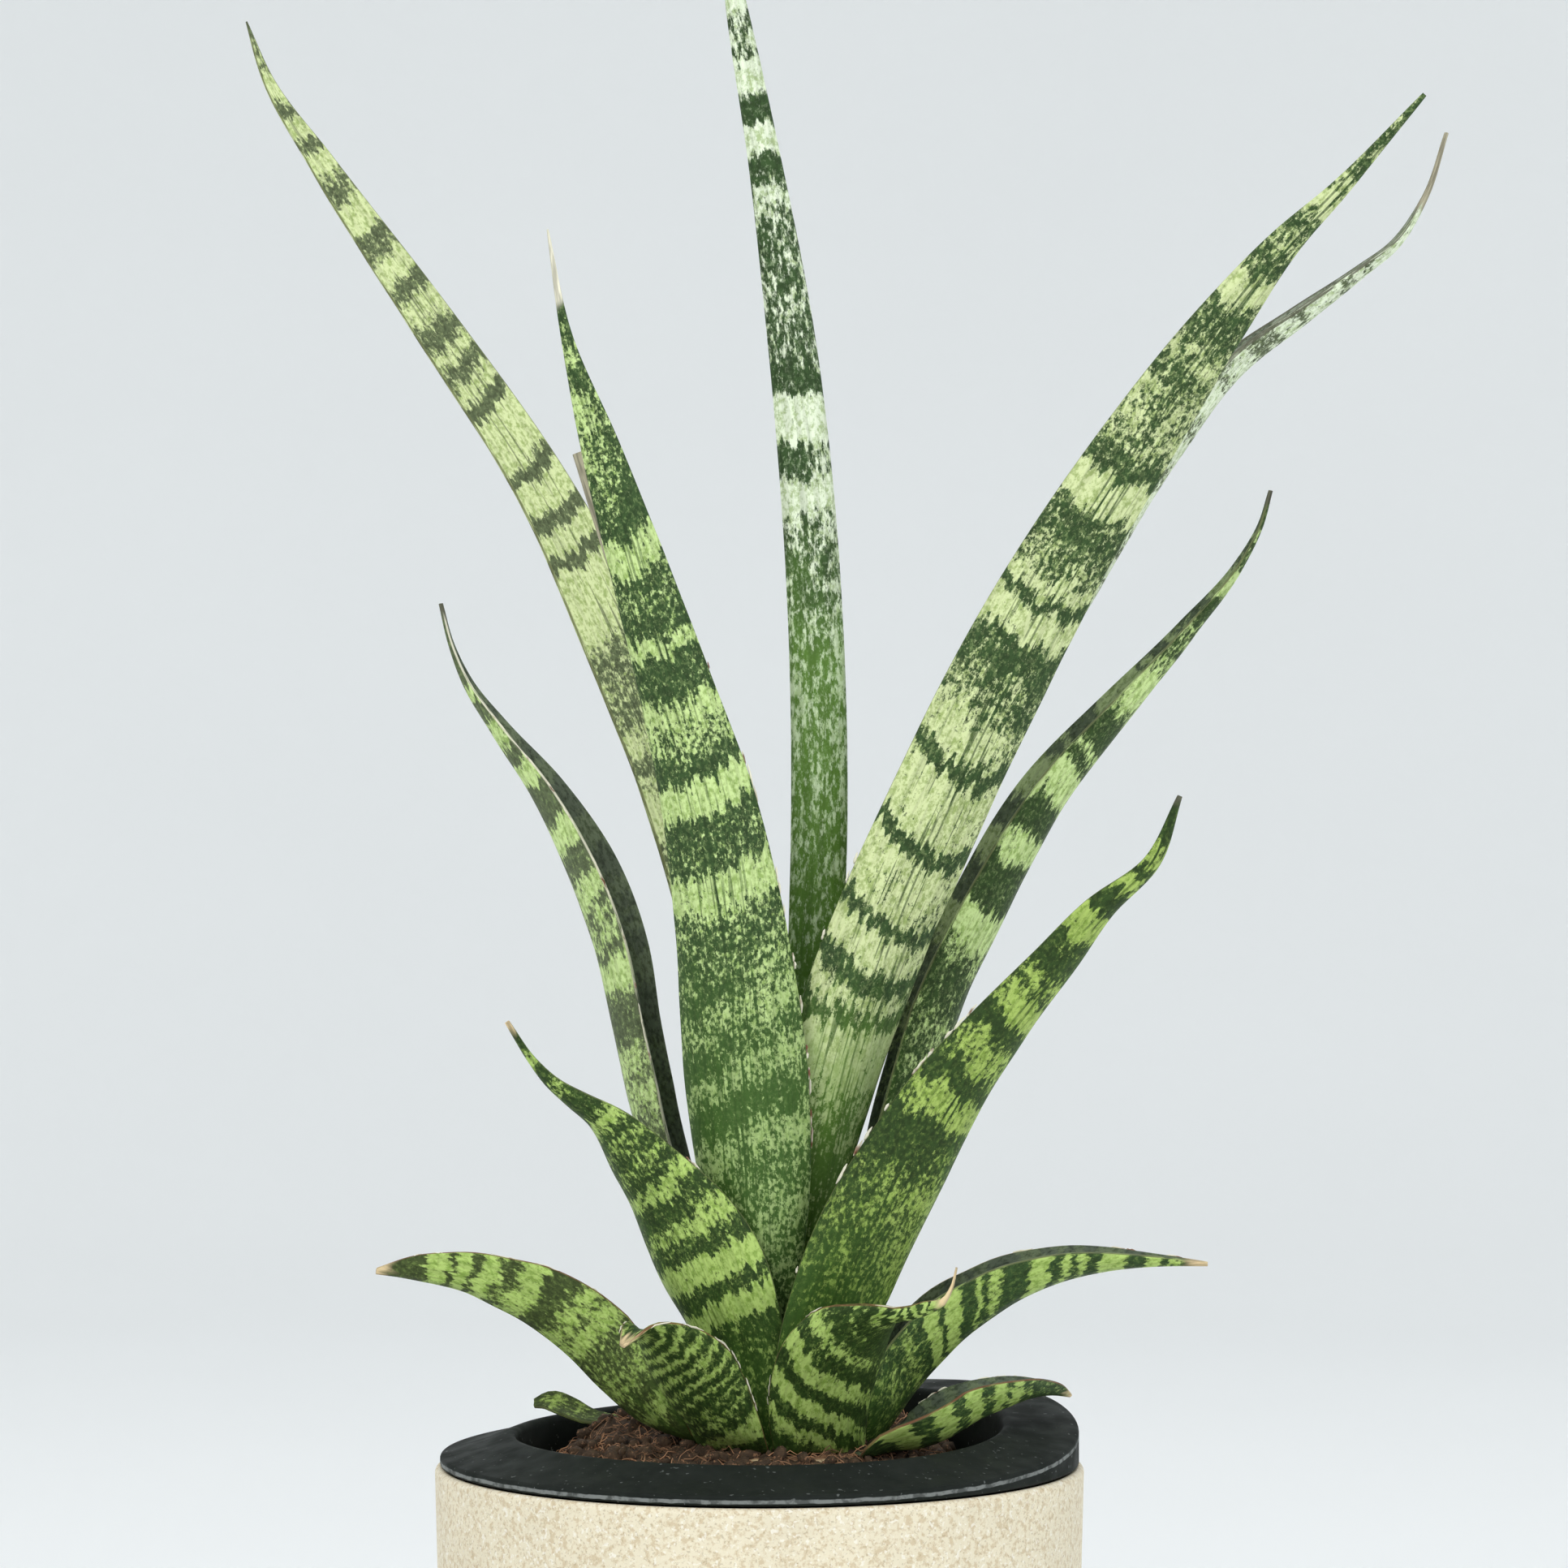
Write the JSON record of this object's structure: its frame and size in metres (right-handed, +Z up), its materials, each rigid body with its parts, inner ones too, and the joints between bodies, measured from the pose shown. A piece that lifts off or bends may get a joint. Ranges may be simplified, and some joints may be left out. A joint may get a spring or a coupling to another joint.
{
  "type": "potted snake plant",
  "caption": "Snake plant with upright and arching banded leaves, growing in a black liner that rests on the rim of a round cream pot.",
  "frame": {"origin": "centre of the pot's flat bottom", "axes": "+Z up along the pot's axis, -Y towards the viewer of the picture, +X to that viewer's right"},
  "size_m": [0.249, 0.13, 0.4331],
  "materials": {
    "pot_stone": "matt cream stone composite with fine tan specks",
    "liner_plastic": "satin black",
    "potting_soil": "loose red-brown potting mix with coir",
    "crown_root": "dull",
    "leaf_dark": "satin, dark green bands over pale green",
    "leaf_pale": "satin, pale green with dark zigzag bands"
  },
  "bodies": {
    "root": {"outer_pot": "pot_stone", "grow_liner": "liner_plastic", "soil": "potting_soil", "root_crown": "crown_root", "leaf_middle_tall": "leaf_dark", "leaf_right_tall": "leaf_pale", "leaf_back_left_tall": "leaf_pale", "leaf_front_tall": "leaf_dark", "leaf_right_back_slim": "leaf_dark", "leaf_hidden_slim": "leaf_dark", "leaf_right_channelled": "leaf_pale", "leaf_front_right_broad": "leaf_pale", "leaf_left_channelled": "leaf_pale", "leaf_front_left_broad": "leaf_pale", "leaf_left_arching": "leaf_dark", "leaf_front_left_short": "leaf_dark", "leaf_front_right_short": "leaf_dark", "leaf_right_arching": "leaf_dark", "leaf_right_low": "leaf_dark", "leaf_back_left_tiny": "leaf_dark"}
  },
  "joints": []
}
